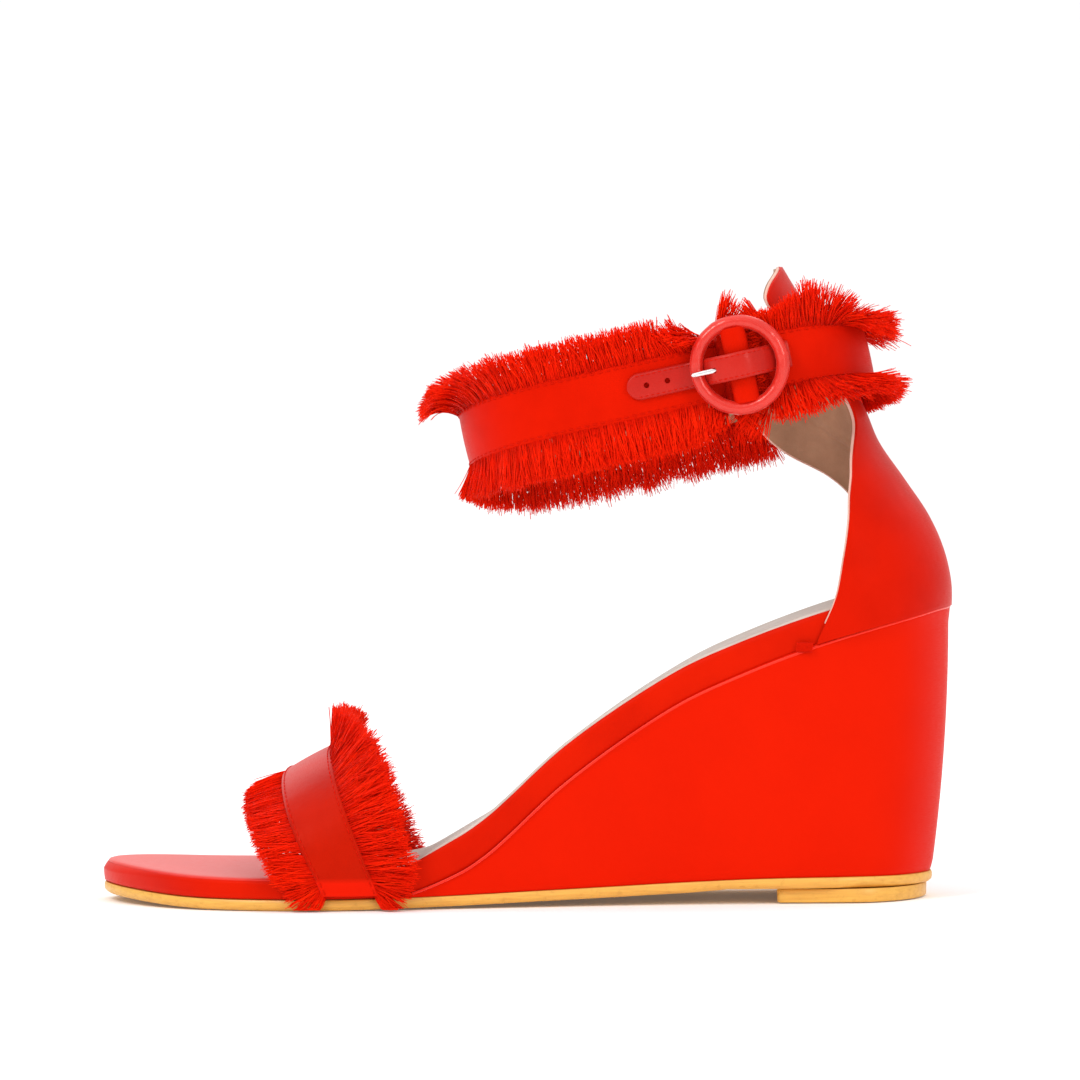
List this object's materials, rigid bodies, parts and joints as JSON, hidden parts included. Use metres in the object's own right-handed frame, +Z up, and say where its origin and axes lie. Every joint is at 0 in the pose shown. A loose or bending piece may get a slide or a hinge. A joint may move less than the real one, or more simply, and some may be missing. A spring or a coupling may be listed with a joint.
{
  "type": "wedge sandal",
  "caption": "Left open-toe wedge sandal with a fringed satin toe band, heel counter and fringed ankle band that opens at a round covered buckle.",
  "frame": {"origin": "centre of the heel top piece's flat underside, on the ground", "axes": "+Z up, -X towards the toe, +X towards the heel, +Y towards the inner side of the left foot, -Y towards the outer, buckle side"},
  "size_m": [0.2253, 0.0951, 0.1651],
  "materials": {
    "satin_red": "glossy duchesse satin",
    "fringe_red": "frayed satin threads",
    "outsole_tan": "smooth resin sole, fine tread",
    "lining_leather": "matt lining leather",
    "sock_leather": "soft matt leather",
    "core_board": "cork and fibre board",
    "foam_pad": "soft foam",
    "stiffener_sheet": "matt thermoplastic sheet",
    "plated_steel": "bright nickel plate"
  },
  "bodies": {
    "shoe": {"outsole": "outsole_tan", "heel_top_piece": "outsole_tan", "top_piece_nails": "plated_steel", "wedge_core": "core_board", "wedge_cover": "satin_red", "insole_board": "core_board", "shank": "plated_steel", "heel_screws": "plated_steel", "footbed_foam": "foam_pad", "sock_lining": "sock_leather", "toe_cover": "satin_red", "rand_cover": "satin_red", "vamp_band": "satin_red", "vamp_lining": "lining_leather", "vamp_front_fringe": "fringe_red", "vamp_rear_fringe": "fringe_red", "counter_outer": "satin_red", "counter_stiffener": "stiffener_sheet", "counter_lining": "lining_leather", "counter_bartacks": "fringe_red"},
    "ankle_back": {"ankle_rear_band": "satin_red", "ankle_rear_lining": "lining_leather", "rear_upper_fringe": "fringe_red", "rear_lower_fringe": "fringe_red", "buckle_strap": "satin_red"},
    "ankle_front": {"ankle_front_band": "satin_red", "ankle_front_lining": "lining_leather", "front_upper_fringe": "fringe_red", "front_lower_fringe": "fringe_red", "buckle_tab": "satin_red"},
    "buckle": {"buckle_ring": "satin_red", "buckle_bar": "plated_steel"},
    "prong": {"buckle_prong": "plated_steel"}
  },
  "joints": [
    {"name": "counter_flex", "type": "hinge", "parent": "shoe", "child": "ankle_back", "pos_m": [0.01, 0, 0.09], "axis": [0, 1, 0], "range_deg": [-12, 12], "deforming": ["counter_outer", "counter_lining"]},
    {"name": "ankle_strap_open", "type": "hinge", "parent": "ankle_back", "child": "ankle_front", "pos_m": [-0.02404, 0.02625, 0.13204], "axis": [0.2079, 0, -0.9781], "range_deg": [0, 100], "deforming": ["buckle_strap"]},
    {"name": "buckle_swivel", "type": "hinge", "parent": "ankle_front", "child": "buckle", "pos_m": [-0.02628, -0.0305, 0.14055], "axis": [-0.2079, 0, 0.9781], "range_deg": [-8, 8]},
    {"name": "prong_lift", "type": "hinge", "parent": "buckle", "child": "prong", "pos_m": [-0.02628, -0.0305, 0.14055], "axis": [-0.2079, 0, 0.9781], "range_deg": [0, 110]}
  ],
  "couplings": [
    {"joint": "prong_lift", "follows": "ankle_strap_open", "ratio": 1.1}
  ]
}
